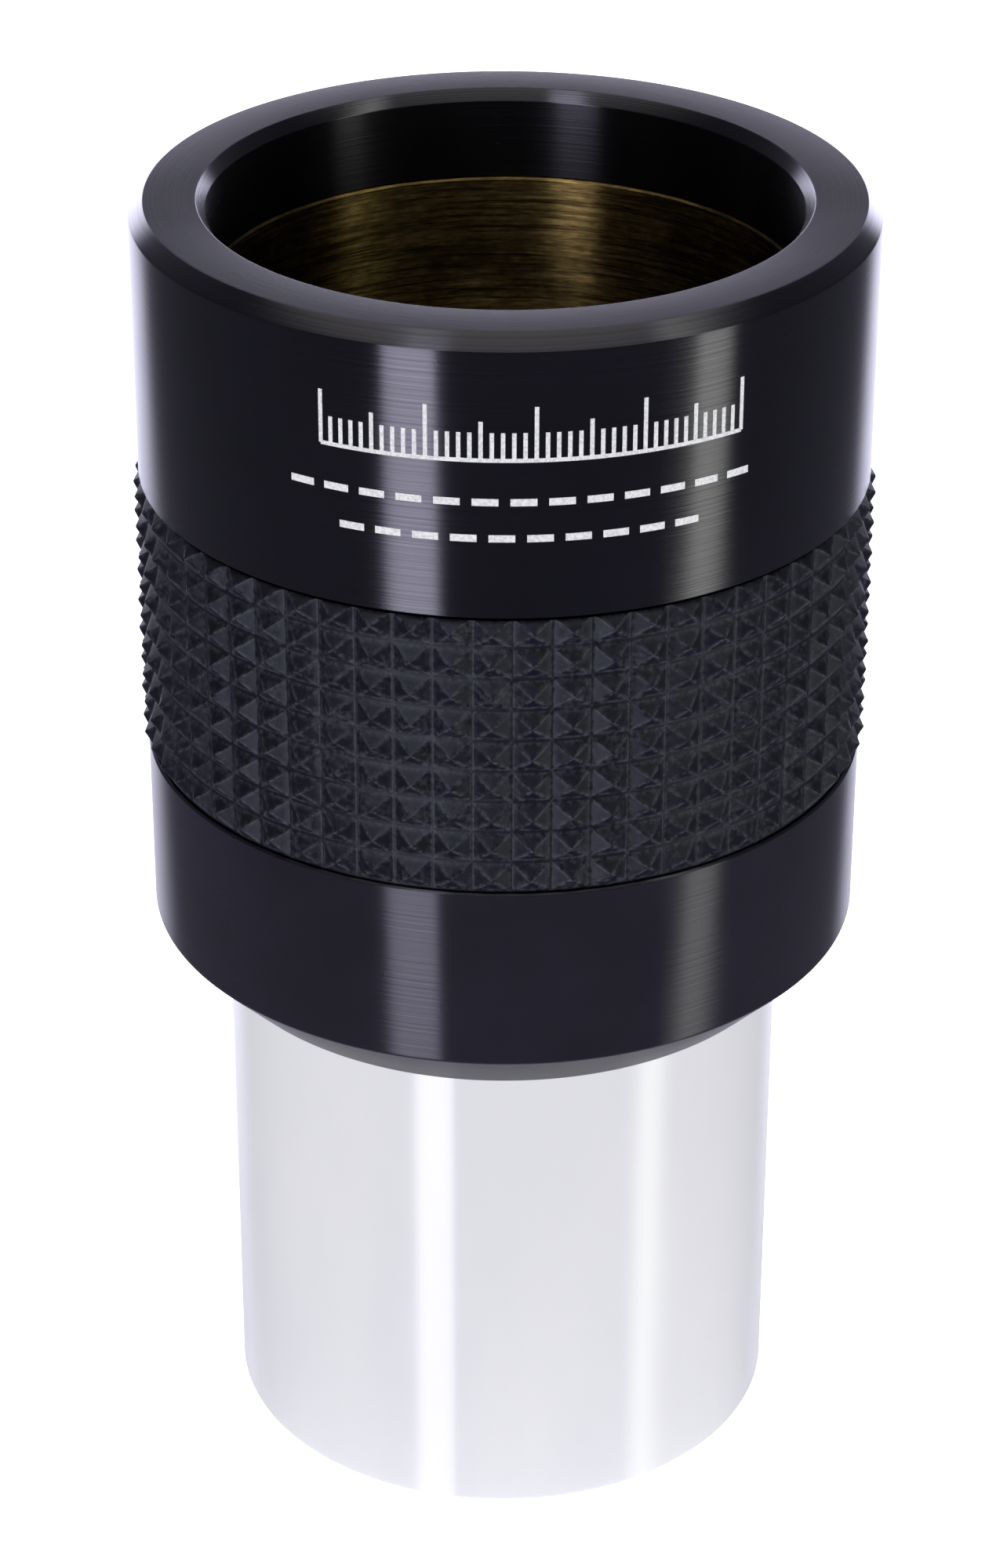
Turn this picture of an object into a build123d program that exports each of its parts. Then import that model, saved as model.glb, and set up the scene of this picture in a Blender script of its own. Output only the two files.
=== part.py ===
"""A 1.25-inch barlow lens: a two-piece black housing with a rubber grip, a silver nosepiece and a lens cell.

Millimetres. The optical axis is +Z, towards the eyepiece end. The origin is the centre of the nosepiece's
bottom end. The thumbscrew is on the +Y side.
"""

import math
import os

from build123d import *

# Heights up the axis.
OVERALL_HEIGHT = 75.2
BODY_BOTTOM = 30.0
GRIP_ZONE_BOTTOM = 43.55
HOUSING_JOINT = 50.0
GRIP_ZONE_TOP = 59.8
SOCKET_FLOOR = 45.2

# Housing, outside.
BODY_R = 20.1
BOTTOM_CHAMFER = 3.0
TOP_CHAMFER = 0.8
GRIP_EDGE_CHAMFER = 0.3
GRIP_SEAT_R = 18.9
SEAT_GAP = 0.05

# Eyepiece socket.
SOCKET_R = 16.0
SOCKET_CHAMFER_R = 16.5
SOCKET_CHAMFER_HEIGHT = 0.65
SPIGOT_SOCKET_R = 17.5

# Brass compression ring and its groove.
RING_BOTTOM = 61.0
RING_TOP = 70.0
RING_INNER_R = 15.93
RING_THICKNESS = 0.8
RING_EDGE_ROUND = 0.15
RING_SPLIT_WIDTH = 2.0
RING_GROOVE_R = 17.15
RING_GROOVE_END_GAP = 0.1

# Thumbscrew, along +Y.
SCREW_HEIGHT = 65.5
SCREW_HOLE_R = 2.0
STUD_R = 1.95
PAD_R = 1.93
PAD_FRONT = 16.98
PAD_LENGTH = 0.8
STUD_FRONT = 17.8
STUD_BACK = 27.0
KNOB_FRONT = 21.4
KNOB_COLLAR_LENGTH = 1.0
KNOB_COLLAR_R = 3.0
KNOB_BACK = 28.9
KNOB_R = 4.4
KNOB_CHAMFER = 0.5
KNOB_BORE_R = 2.0
KNOB_DISH_R = 2.6
KNOB_DISH_DEPTH = 0.5
KNURL_COUNT = 36
KNURL_DEPTH = 0.3
KNURL_SIDE = KNURL_DEPTH * math.sqrt(2)

# Grub screws that lock the two housing halves, under the grip.
LOCK_SCREW_COUNT = 3
LOCK_SCREW_START_ANGLE = 30.0
LOCK_SCREW_HEIGHT = 47.6
LOCK_SCREW_R = 1.2
LOCK_SCREW_HOLE_R = 1.25
LOCK_SCREW_LENGTH = 1.3
LOCK_SCREW_KEY_R = 0.7
LOCK_SCREW_KEY_DEPTH = 0.7

# Rubber grip with square pyramids.
GRIP_BOTTOM = 43.6
GRIP_TOP = 59.55
GRIP_INNER_R = GRIP_SEAT_R + SEAT_GAP
GRIP_FLOOR_R = 19.85
GRIP_TIP_R = 20.45
GRIP_COLUMNS = 60
GRIP_TURN = 1.24
GRIP_ROWS = 9
GRIP_ROW_PITCH = 1.8
GRIP_GROOVE_HALF_WIDTH = 0.125
GRIP_CUT_R = 20.5
GRIP_CUT_HALF_WIDTH = GRIP_CUT_R * math.tan(math.pi / GRIP_COLUMNS)

# Lower housing, inside. The nosepiece's shoulder sits in a shallow recess in the bottom face.
NOSEPIECE_RECESS_DEPTH = 0.15
NOSEPIECE_BORE_R = 15.0
NOSEPIECE_BORE_TOP = 38.0
LIGHT_BORE_R = 14.0

# Nosepiece barrel.
BARREL_R = 15.875
BARREL_SHOULDER = BODY_BOTTOM + NOSEPIECE_RECESS_DEPTH
BARREL_EDGE_ROUND = 0.3
BARREL_SPIGOT_R = 14.95
BARREL_TOP = 37.5
FILTER_THREAD_R = 14.0
FILTER_THREAD_DEPTH = 5.0
FILTER_CHAMFER = 0.4
CELL_BORE_R = 13.8
CELL_SHOULDER = 20.0
BARREL_BORE_R = 12.9

# Lens cell and its stack, from the bottom up.
CELL_BOTTOM = 6.0
CELL_R = CELL_BORE_R - SEAT_GAP
CELL_LIP_TOP = 7.0
CELL_LIP_BEVEL = 0.7
LENS_R = 12.0
LENS_SEAT_R = LENS_R + SEAT_GAP
CLEAR_R = 11.2
FRONT_LENS_EDGE = 4.2
FRONT_LENS_LOWER_R = 70.0
FRONT_LENS_UPPER_R = 45.0
SPACER_BOTTOM = CELL_LIP_TOP + FRONT_LENS_EDGE
SPACER_HEIGHT = 0.8
SPACER_INNER_R = 11.3
CROWN_BOTTOM = SPACER_BOTTOM + SPACER_HEIGHT
CROWN_EDGE = 3.6
CROWN_LOWER_R = 90.0
CEMENTED_R = 50.0
CEMENT_GAP = 0.05
FLINT_BOTTOM = CROWN_BOTTOM + CROWN_EDGE + CEMENT_GAP
FLINT_EDGE = 1.6
FLINT_UPPER_R = 110.0
RETAINER_BOTTOM = FLINT_BOTTOM + FLINT_EDGE
RETAINER_HEIGHT = 2.0
RETAINER_BEVEL = 0.5
SPANNER_SLOT_WIDTH = 1.2
SPANNER_SLOT_DEPTH = 0.6

# Knife-edged baffles.
HOUSING_BAFFLE_BOTTOM = 40.0
HOUSING_BAFFLE_EDGE_R = 12.2
BARREL_BAFFLE_BOTTOM = 31.0
BARREL_BAFFLE_EDGE_R = 11.2
BAFFLE_HEIGHT = 2.0
BAFFLE_BAND = 0.8
BAFFLE_EDGE_HEIGHT = 0.1

THROUGH = 2 * BODY_R
SCREW_PLANE = Plane(origin=(0, 0, SCREW_HEIGHT), x_dir=(1, 0, 0), z_dir=(0, 1, 0))
SCREW_SECTION = Plane(origin=(0, 0, SCREW_HEIGHT), x_dir=(0, 1, 0), z_dir=(1, 0, 0))


def outline(*points):
    """Fills a closed outline through the points, in the sketch that is open."""
    with BuildLine() as edge:
        Polyline(*points, close=True)
    make_face(edge.edges())


def screw_plane(distance):
    """The plane across the thumbscrew's axis, at this distance from the optical axis."""
    return SCREW_PLANE.offset(distance)


def lens_face_line(edge_z, radius, bulge):
    """Draws half of a lens face, a spherical part with a flat rim, bulging up (1) or down (-1)."""
    sag = radius - math.sqrt(radius**2 - CLEAR_R**2)
    ThreePointArc(
        (0, edge_z + bulge * sag),
        (CLEAR_R / 2, edge_z + bulge * (sag - radius + math.sqrt(radius**2 - (CLEAR_R / 2) ** 2))),
        (CLEAR_R, edge_z),
    )
    Line((CLEAR_R, edge_z), (LENS_R, edge_z))
    return edge_z + bulge * sag


def lens_outline(bottom, edge, lower_radius, lower_bulge, upper_radius, upper_bulge):
    """Fills one lens's half section, in the sketch that is open."""
    with BuildLine() as section:
        lower_centre = lens_face_line(bottom, lower_radius, lower_bulge)
        upper_centre = lens_face_line(bottom + edge, upper_radius, upper_bulge)
        Line((LENS_R, bottom), (LENS_R, bottom + edge))
        Line((0, lower_centre), (0, upper_centre))
    make_face(section.edges())


def baffle_outline(bottom, outer_r, edge_r):
    """Fills the half section of a ring that narrows to a thin edge at its middle height."""
    middle = bottom + BAFFLE_HEIGHT / 2
    outline(
        (outer_r, bottom),
        (outer_r, bottom + BAFFLE_HEIGHT),
        (outer_r - BAFFLE_BAND, bottom + BAFFLE_HEIGHT),
        (edge_r, middle + BAFFLE_EDGE_HEIGHT / 2),
        (edge_r, middle - BAFFLE_EDGE_HEIGHT / 2),
        (outer_r - BAFFLE_BAND, bottom),
    )


def grip_outline():
    """Fills the grip's half section: one tooth a row, with the top row cut off by the housing's edge."""
    points = [(GRIP_INNER_R, GRIP_BOTTOM), (GRIP_FLOOR_R, GRIP_BOTTOM)]
    for row in range(GRIP_ROWS):
        foot = GRIP_BOTTOM + row * GRIP_ROW_PITCH + GRIP_GROOVE_HALF_WIDTH
        tip = GRIP_BOTTOM + (row + 0.5) * GRIP_ROW_PITCH
        end = GRIP_BOTTOM + (row + 1) * GRIP_ROW_PITCH - GRIP_GROOVE_HALF_WIDTH
        points += [(GRIP_FLOOR_R, foot), (GRIP_TIP_R, tip)]
        if end < GRIP_TOP:
            points.append((GRIP_FLOOR_R, end))
    cut_share = (end - GRIP_TOP) / (end - tip)
    points.append((GRIP_FLOOR_R + cut_share * (GRIP_TIP_R - GRIP_FLOOR_R), GRIP_TOP))
    points.append((GRIP_INNER_R, GRIP_TOP))
    outline(*points)


# The upper housing: the eyepiece socket, with a groove for the brass ring and a spigot for the lower half.
with BuildPart() as eyepiece_holder:
    with BuildSketch(Plane.XZ):
        outline(
            (SOCKET_R, SOCKET_FLOOR),
            (SPIGOT_SOCKET_R - SEAT_GAP, SOCKET_FLOOR),
            (SPIGOT_SOCKET_R - SEAT_GAP, HOUSING_JOINT),
            (GRIP_SEAT_R, HOUSING_JOINT),
            (GRIP_SEAT_R, GRIP_ZONE_TOP),
            (BODY_R, GRIP_ZONE_TOP),
            (BODY_R, OVERALL_HEIGHT - TOP_CHAMFER),
            (BODY_R - TOP_CHAMFER, OVERALL_HEIGHT),
            (SOCKET_CHAMFER_R, OVERALL_HEIGHT),
            (SOCKET_R, OVERALL_HEIGHT - SOCKET_CHAMFER_HEIGHT),
            (SOCKET_R, RING_TOP + RING_GROOVE_END_GAP),
            (RING_GROOVE_R, RING_TOP + RING_GROOVE_END_GAP),
            (RING_GROOVE_R, RING_BOTTOM - RING_GROOVE_END_GAP),
            (SOCKET_R, RING_BOTTOM - RING_GROOVE_END_GAP),
        )
    revolve(axis=Axis.Z)
    with BuildSketch(SCREW_PLANE):
        Circle(SCREW_HOLE_R)
    extrude(amount=THROUGH, mode=Mode.SUBTRACT)

# The lower housing: it takes the spigot above and the nosepiece below.
with BuildPart() as lower_housing:
    with BuildSketch(Plane.XZ):
        outline(
            (NOSEPIECE_BORE_R, BARREL_SHOULDER),
            (BARREL_R + SEAT_GAP, BARREL_SHOULDER),
            (BARREL_R + SEAT_GAP, BODY_BOTTOM),
            (BODY_R - BOTTOM_CHAMFER, BODY_BOTTOM),
            (BODY_R, BODY_BOTTOM + BOTTOM_CHAMFER),
            (BODY_R, GRIP_ZONE_BOTTOM - GRIP_EDGE_CHAMFER),
            (BODY_R - GRIP_EDGE_CHAMFER, GRIP_ZONE_BOTTOM),
            (GRIP_SEAT_R, GRIP_ZONE_BOTTOM),
            (GRIP_SEAT_R, HOUSING_JOINT),
            (SPIGOT_SOCKET_R, HOUSING_JOINT),
            (SPIGOT_SOCKET_R, SOCKET_FLOOR),
            (LIGHT_BORE_R, SOCKET_FLOOR),
            (LIGHT_BORE_R, NOSEPIECE_BORE_TOP),
            (NOSEPIECE_BORE_R, NOSEPIECE_BORE_TOP),
        )
    revolve(axis=Axis.Z)
    with PolarLocations(0, LOCK_SCREW_COUNT, start_angle=LOCK_SCREW_START_ANGLE):
        with Locations(Location((0, 0, LOCK_SCREW_HEIGHT), (0, 90, 0))):
            Cylinder(
                LOCK_SCREW_HOLE_R,
                THROUGH,
                align=(Align.CENTER, Align.CENTER, Align.MIN),
                mode=Mode.SUBTRACT,
            )

# The rubber grip, stretched over both halves: ribs round it, then grooves down it leave square pyramids.
with BuildPart() as rubber_grip:
    with BuildSketch(Plane.XZ):
        grip_outline()
    revolve(axis=Axis.Z)
    with BuildSketch(Plane.XY.offset(GRIP_BOTTOM)):
        with PolarLocations(0, GRIP_COLUMNS, start_angle=GRIP_TURN):
            Polygon(
                (GRIP_FLOOR_R, -GRIP_GROOVE_HALF_WIDTH),
                (GRIP_CUT_R, -GRIP_CUT_HALF_WIDTH),
                (GRIP_CUT_R, GRIP_CUT_HALF_WIDTH),
                (GRIP_FLOOR_R, GRIP_GROOVE_HALF_WIDTH),
                align=None,
            )
    extrude(amount=GRIP_TOP - GRIP_BOTTOM, mode=Mode.SUBTRACT)

# The split brass ring that clamps the eyepiece. Its split faces away from the thumbscrew.
with BuildPart() as compression_ring:
    with BuildSketch(Plane.XZ):
        with Locations((RING_INNER_R + RING_THICKNESS / 2, (RING_BOTTOM + RING_TOP) / 2)):
            RectangleRounded(RING_THICKNESS, RING_TOP - RING_BOTTOM, RING_EDGE_ROUND)
    revolve(axis=Axis.Z)
    with Locations((0, -RING_INNER_R, RING_BOTTOM)):
        Box(
            RING_SPLIT_WIDTH,
            2 * RING_THICKNESS + RING_SPLIT_WIDTH,
            RING_TOP - RING_BOTTOM,
            align=(Align.CENTER, Align.CENTER, Align.MIN),
            mode=Mode.SUBTRACT,
        )

# The pad between the screw and the brass ring. It slides in the screw hole and doesn't turn.
with BuildPart() as pressure_pad:
    with BuildSketch(screw_plane(PAD_FRONT)):
        Circle(PAD_R)
    extrude(amount=PAD_LENGTH)

with BuildPart() as thumbscrew_stud:
    with BuildSketch(screw_plane(STUD_FRONT)):
        Circle(STUD_R)
    extrude(amount=STUD_BACK - STUD_FRONT)

# The knob: a plain collar, a head with a straight knurl and a shallow dish in its end.
with BuildPart() as thumbscrew_knob:
    head_front = KNOB_FRONT + KNOB_COLLAR_LENGTH
    with BuildSketch(SCREW_SECTION):
        outline(
            (KNOB_FRONT, KNOB_BORE_R),
            (KNOB_FRONT, KNOB_COLLAR_R),
            (head_front, KNOB_COLLAR_R),
            (head_front, KNOB_R - KNOB_CHAMFER),
            (head_front + KNOB_CHAMFER, KNOB_R),
            (KNOB_BACK - KNOB_CHAMFER, KNOB_R),
            (KNOB_BACK, KNOB_R - KNOB_CHAMFER),
            (KNOB_BACK, KNOB_DISH_R),
            (KNOB_BACK - KNOB_DISH_DEPTH, KNOB_DISH_R),
            (KNOB_BACK - KNOB_DISH_DEPTH, 0),
            (STUD_BACK + SEAT_GAP, 0),
            (STUD_BACK + SEAT_GAP, KNOB_BORE_R),
        )
    revolve(axis=Axis(SCREW_SECTION.origin, SCREW_SECTION.x_dir))
    with BuildSketch(screw_plane(head_front)):
        with PolarLocations(KNOB_R, KNURL_COUNT):
            Rectangle(KNURL_SIDE, KNURL_SIDE, rotation=45)
    extrude(amount=KNOB_BACK - head_front, mode=Mode.SUBTRACT)

with BuildPart() as nosepiece_barrel:
    with BuildSketch(Plane.XZ):
        outline(
            (FILTER_THREAD_R + FILTER_CHAMFER, 0),
            (BARREL_R, 0),
            (BARREL_R, BARREL_SHOULDER),
            (BARREL_SPIGOT_R, BARREL_SHOULDER),
            (BARREL_SPIGOT_R, BARREL_TOP),
            (BARREL_BORE_R, BARREL_TOP),
            (BARREL_BORE_R, CELL_SHOULDER),
            (CELL_BORE_R, CELL_SHOULDER),
            (CELL_BORE_R, FILTER_THREAD_DEPTH),
            (FILTER_THREAD_R, FILTER_THREAD_DEPTH),
            (FILTER_THREAD_R, FILTER_CHAMFER),
        )
    revolve(axis=Axis.Z)
    bottom_edges = nosepiece_barrel.edges().filter_by_position(Axis.Z, 0, 0)
    fillet(bottom_edges.sort_by(SortBy.RADIUS)[-1], BARREL_EDGE_ROUND)

# The lens cell screws up into the barrel from below. Two slots in its bottom end take a spanner.
with BuildPart() as lens_cell:
    with BuildSketch(Plane.XZ):
        outline(
            (CLEAR_R + CELL_LIP_BEVEL, CELL_BOTTOM),
            (CELL_R, CELL_BOTTOM),
            (CELL_R, CELL_SHOULDER),
            (LENS_SEAT_R, CELL_SHOULDER),
            (LENS_SEAT_R, CELL_LIP_TOP),
            (CLEAR_R, CELL_LIP_TOP),
            (CLEAR_R, CELL_BOTTOM + CELL_LIP_BEVEL),
        )
    revolve(axis=Axis.Z)
    with Locations((0, 0, CELL_BOTTOM)):
        Box(
            2 * CELL_R,
            SPANNER_SLOT_WIDTH,
            SPANNER_SLOT_DEPTH,
            align=(Align.CENTER, Align.CENTER, Align.MIN),
            mode=Mode.SUBTRACT,
        )

with BuildPart() as front_lens:
    with BuildSketch(Plane.XZ):
        lens_outline(CELL_LIP_TOP, FRONT_LENS_EDGE, FRONT_LENS_LOWER_R, 1, FRONT_LENS_UPPER_R, -1)
    revolve(axis=Axis.Z)

with BuildPart() as lens_spacer:
    with BuildSketch(Plane.XY.offset(SPACER_BOTTOM)):
        Circle(LENS_R)
        Circle(SPACER_INNER_R, mode=Mode.SUBTRACT)
    extrude(amount=SPACER_HEIGHT)

with BuildPart() as doublet_crown:
    with BuildSketch(Plane.XZ):
        lens_outline(CROWN_BOTTOM, CROWN_EDGE, CROWN_LOWER_R, 1, CEMENTED_R, -1)
    revolve(axis=Axis.Z)

with BuildPart() as doublet_flint:
    with BuildSketch(Plane.XZ):
        lens_outline(FLINT_BOTTOM, FLINT_EDGE, CEMENTED_R, -1, FLINT_UPPER_R, 1)
    revolve(axis=Axis.Z)

# The threaded ring that holds the lens stack down, with two spanner slots.
with BuildPart() as lens_retaining_ring:
    with BuildSketch(Plane.XZ):
        outline(
            (CLEAR_R, RETAINER_BOTTOM),
            (LENS_R, RETAINER_BOTTOM),
            (LENS_R, RETAINER_BOTTOM + RETAINER_HEIGHT),
            (CLEAR_R + RETAINER_BEVEL, RETAINER_BOTTOM + RETAINER_HEIGHT),
            (CLEAR_R, RETAINER_BOTTOM + RETAINER_HEIGHT - RETAINER_BEVEL),
        )
    revolve(axis=Axis.Z)
    with Locations((0, 0, RETAINER_BOTTOM + RETAINER_HEIGHT)):
        Box(
            2 * LENS_R,
            SPANNER_SLOT_WIDTH,
            SPANNER_SLOT_DEPTH,
            align=(Align.CENTER, Align.CENTER, Align.MAX),
            mode=Mode.SUBTRACT,
        )

with BuildPart() as housing_baffle:
    with BuildSketch(Plane.XZ):
        baffle_outline(HOUSING_BAFFLE_BOTTOM, LIGHT_BORE_R - SEAT_GAP, HOUSING_BAFFLE_EDGE_R)
    revolve(axis=Axis.Z)

with BuildPart() as barrel_baffle:
    with BuildSketch(Plane.XZ):
        baffle_outline(BARREL_BAFFLE_BOTTOM, BARREL_BORE_R - SEAT_GAP, BARREL_BAFFLE_EDGE_R)
    revolve(axis=Axis.Z)

# The grub screws, each with a hexagon socket in its outer end.
with BuildPart() as housing_lock_screws:
    with PolarLocations(SPIGOT_SOCKET_R, LOCK_SCREW_COUNT, start_angle=LOCK_SCREW_START_ANGLE):
        with Locations(Location((0, 0, LOCK_SCREW_HEIGHT), (0, 90, 0))):
            Cylinder(
                LOCK_SCREW_R,
                LOCK_SCREW_LENGTH,
                align=(Align.CENTER, Align.CENTER, Align.MIN),
            )
    for turn in range(LOCK_SCREW_COUNT):
        across = Plane.YZ.rotated((0, 0, LOCK_SCREW_START_ANGLE + turn * 360 / LOCK_SCREW_COUNT))
        end = across.offset(SPIGOT_SOCKET_R + LOCK_SCREW_LENGTH)
        with BuildSketch(end):
            with Locations((0, LOCK_SCREW_HEIGHT)):
                RegularPolygon(LOCK_SCREW_KEY_R, 6)
        extrude(amount=-LOCK_SCREW_KEY_DEPTH, mode=Mode.SUBTRACT)

NODES = {
    "eyepiece_holder": eyepiece_holder,
    "lower_housing": lower_housing,
    "rubber_grip": rubber_grip,
    "compression_ring": compression_ring,
    "pressure_pad": pressure_pad,
    "thumbscrew_stud": thumbscrew_stud,
    "thumbscrew_knob": thumbscrew_knob,
    "nosepiece_barrel": nosepiece_barrel,
    "lens_cell": lens_cell,
    "front_lens": front_lens,
    "lens_spacer": lens_spacer,
    "doublet_crown": doublet_crown,
    "doublet_flint": doublet_flint,
    "lens_retaining_ring": lens_retaining_ring,
    "housing_baffle": housing_baffle,
    "barrel_baffle": barrel_baffle,
    "housing_lock_screws": housing_lock_screws,
}

os.makedirs("parts", exist_ok=True)
for name, node in NODES.items():
    node.part.label = name
    export_step(node.part, f"parts/{name}.step")
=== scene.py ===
"""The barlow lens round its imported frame, with a small white studio. Outlines are in millimetres."""

import math
import random

import bmesh
import bpy
from mathutils import Matrix, Vector


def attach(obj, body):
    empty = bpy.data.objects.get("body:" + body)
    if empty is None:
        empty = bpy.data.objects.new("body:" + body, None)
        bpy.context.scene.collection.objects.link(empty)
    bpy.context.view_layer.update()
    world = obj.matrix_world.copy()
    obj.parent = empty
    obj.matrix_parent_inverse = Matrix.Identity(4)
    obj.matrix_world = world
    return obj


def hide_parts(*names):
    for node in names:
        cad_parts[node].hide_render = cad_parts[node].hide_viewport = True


MM = 0.001
SEED = 7
ROUND_STEPS = 5
LATHE_SEGMENTS = 256
SCREW_SEGMENTS = 64
SHARP_ANGLE = math.radians(28)

# The object's own sizes, in millimetres, as in the frame.
OVERALL_HEIGHT = 75.2
BODY_BOTTOM = 30.0
GRIP_ZONE_BOTTOM = 43.55
HOUSING_JOINT = 50.0
GRIP_ZONE_TOP = 59.8
SOCKET_FLOOR = 45.2
BODY_R = 20.1
BODY_CHAMFER = 3.0
BODY_CHAMFER_ROUND = 0.15
GRIP_SEAT_R = 18.9
GRIP_SEAT_CHAMFER = 0.12
SOCKET_R = 16.0
BORE_MARGIN = 0.01
RIM_CHAMFER = 0.8
SOCKET_CHAMFER_WIDTH = 0.5
SOCKET_CHAMFER_DEPTH = 0.65
EDGE_ROUND = 0.04
FINE_ROUND = 0.03
SOFT_ROUND = 0.06
FLOOR_ROUND = 0.15
SPIGOT_R = 17.45
SPIGOT_ROUND = 0.3
SPIGOT_SOCKET_R = 17.5
RING_BOTTOM = 61.0
RING_TOP = 70.0
RING_INNER_R = 15.93
RING_OUTER_R = 16.73
RING_SPLIT_WIDTH = 2.0
RING_CHAMFER = 0.13
RING_CHAMFER_ROUND = 0.02
RING_ROUND = 0.15
RING_GROOVE_R = 17.15
RING_GROOVE_END_GAP = 0.1
SCREW_HEIGHT = 65.5
SCREW_HOLE_R = 2.0
SCREW_HOLE_OVERRUN = 1.0
NOSEPIECE_BORE_R = 15.0
NOSEPIECE_BORE_TOP = 38.0
LIGHT_BORE_R = 14.0
LIGHT_BORE_ROUND = 0.1
BARREL_R = 15.875
BARREL_END_ROUND = 0.3
BARREL_BORE_ROUND = 0.1
BARREL_SPIGOT_R = 14.95
BARREL_TOP = 37.5
FILTER_THREAD_R = 14.0
FILTER_THREAD_PITCH = 0.6
FILTER_THREAD_TURNS = 7
FILTER_THREAD_CUT = 0.2
FILTER_THREAD_DEPTH = 5.0
FILTER_LEAD_IN = 0.4
FILTER_LEAD_ROUND = 0.05
CELL_BORE_R = 13.8
CELL_SHOULDER = 20.0
BARREL_BORE_R = 12.9

# Shares of a thread's pitch at which its crest ends, its root lies and its crest starts again.
CREST_END = 0.15
ROOT_AT = 0.5
CREST_START = 0.85

# The rubber grip.
GRIP_BOTTOM = 43.6
GRIP_TOP = 59.55
GRIP_INNER_R = 18.95
GRIP_FLOOR_R = 19.85
GRIP_TIP_R = 20.45
GRIP_COLUMNS = 60
GRIP_TURN = math.radians(1.24)
GRIP_ROWS = 9
GRIP_ROW_PITCH = 1.8
GRIP_GROOVE_HALF_WIDTH = 0.1
GRIP_STEPS = (-1.0, -0.93, -0.87, -0.6, -0.3, -0.09, 0.0, 0.09, 0.3, 0.6, 0.87, 0.93, 1.0)
GRIP_RIDGE_SHARPNESS = 24.0
GRIP_TIP_ROUND = 0.03
GRIP_HEIGHT_SPREAD = 0.06
GRIP_LEAN_SPREAD = 0.05
# Bands along the pyramids' ridges and feet that are painted paler: partly rubbed wear, partly painted
# highlight.
PALE_EDGE_RIDGE_BAND = 0.07
PALE_EDGE_RIDGE_SHARE = 0.7
PALE_EDGE_FOOT_BAND = 0.05

# The thumbscrew, with its length along +Y.
KNOB_FRONT = 21.4
KNOB_HEAD_FRONT = 22.4
KNOB_BACK = 28.9
KNOB_COLLAR_R = 3.0
KNOB_R = 4.4
KNOB_CHAMFER = 0.5
KNOB_DISH_R = 2.6
KNOB_DISH_DEPTH = 0.5
KNOB_BORE_R = 2.0
KNOB_ROUND = 0.08
KNOB_INNER_ROUND = 0.1
KNOB_COLLAR_ROUND = 0.2
KNOB_NECK_ROUND = 0.05
STUD_R = 1.95
STUD_FRONT = 17.8
STUD_BACK = 27.0
STUD_END_CHAMFER = 0.3
STUD_END_GAP = 0.05
STUD_PITCH = 0.7
STUD_THREAD_CUT = 0.3
KNURL_COUNT = 36
KNURL_DEPTH = 0.3
KNURL_STEEPNESS = 2.6
KNURL_STEPS = 8

# The camera: its place in metres, its turns in degrees, and its lens and sensor in millimetres.
CAMERA_PLACE = (0.0, -0.21244, 0.15572)
CAMERA_PITCH_DOWN = 28.744
CAMERA_ROLL = 0.199
CAMERA_LENS = 96.98
SENSOR_WIDTH = 36.0
CAMERA_CLIP_START = 0.01

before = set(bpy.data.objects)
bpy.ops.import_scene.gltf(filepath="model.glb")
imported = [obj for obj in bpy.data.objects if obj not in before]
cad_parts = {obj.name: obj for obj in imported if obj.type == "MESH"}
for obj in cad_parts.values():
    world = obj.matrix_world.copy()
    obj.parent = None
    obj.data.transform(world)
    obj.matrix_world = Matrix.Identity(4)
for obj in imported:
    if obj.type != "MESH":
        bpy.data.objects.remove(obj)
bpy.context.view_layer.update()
random.seed(SEED)

# ---------------------------------------------------------------- meshes


def rounded(outline):
    """The outline's points, with each corner that states a size turned into a short curve."""
    points = []
    for i, corner in enumerate(outline):
        here = Vector(corner[:2])
        if len(corner) == 2:
            points.append(here)
            continue
        before = Vector(outline[i - 1][:2])
        after = Vector(outline[(i + 1) % len(outline)][:2])
        start = here + (before - here).normalized() * corner[2]
        end = here + (after - here).normalized() * corner[2]
        for step in range(ROUND_STEPS + 1):
            s = step / ROUND_STEPS
            points.append(start * (1 - s) ** 2 + here * (2 * s * (1 - s)) + end * s**2)
    return points


def new_object(name, verts, faces, body):
    """A mesh object from points in millimetres, smooth apart from its sharp edges, riding on a body."""
    mesh = bpy.data.meshes.new(name)
    mesh.from_pydata([Vector(v) * MM for v in verts], [], faces)
    tidy = bmesh.new()
    tidy.from_mesh(mesh)
    bmesh.ops.recalc_face_normals(tidy, faces=tidy.faces)
    tidy.to_mesh(mesh)
    tidy.free()
    mesh.shade_smooth()
    mesh.set_sharp_from_angle(angle=SHARP_ANGLE)
    obj = bpy.data.objects.new(name, mesh)
    bpy.context.scene.collection.objects.link(obj)
    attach(obj, body)
    return obj


def about_z(r, along, angle):
    """A point at this radius and height on a part turned about the optical axis."""
    return (r * math.cos(angle), r * math.sin(angle), along)


def about_screw(r, along, angle):
    """A point at this radius on a part turned about the thumbscrew's axis."""
    return (r * math.cos(angle), along, SCREW_HEIGHT + r * math.sin(angle))


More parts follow.
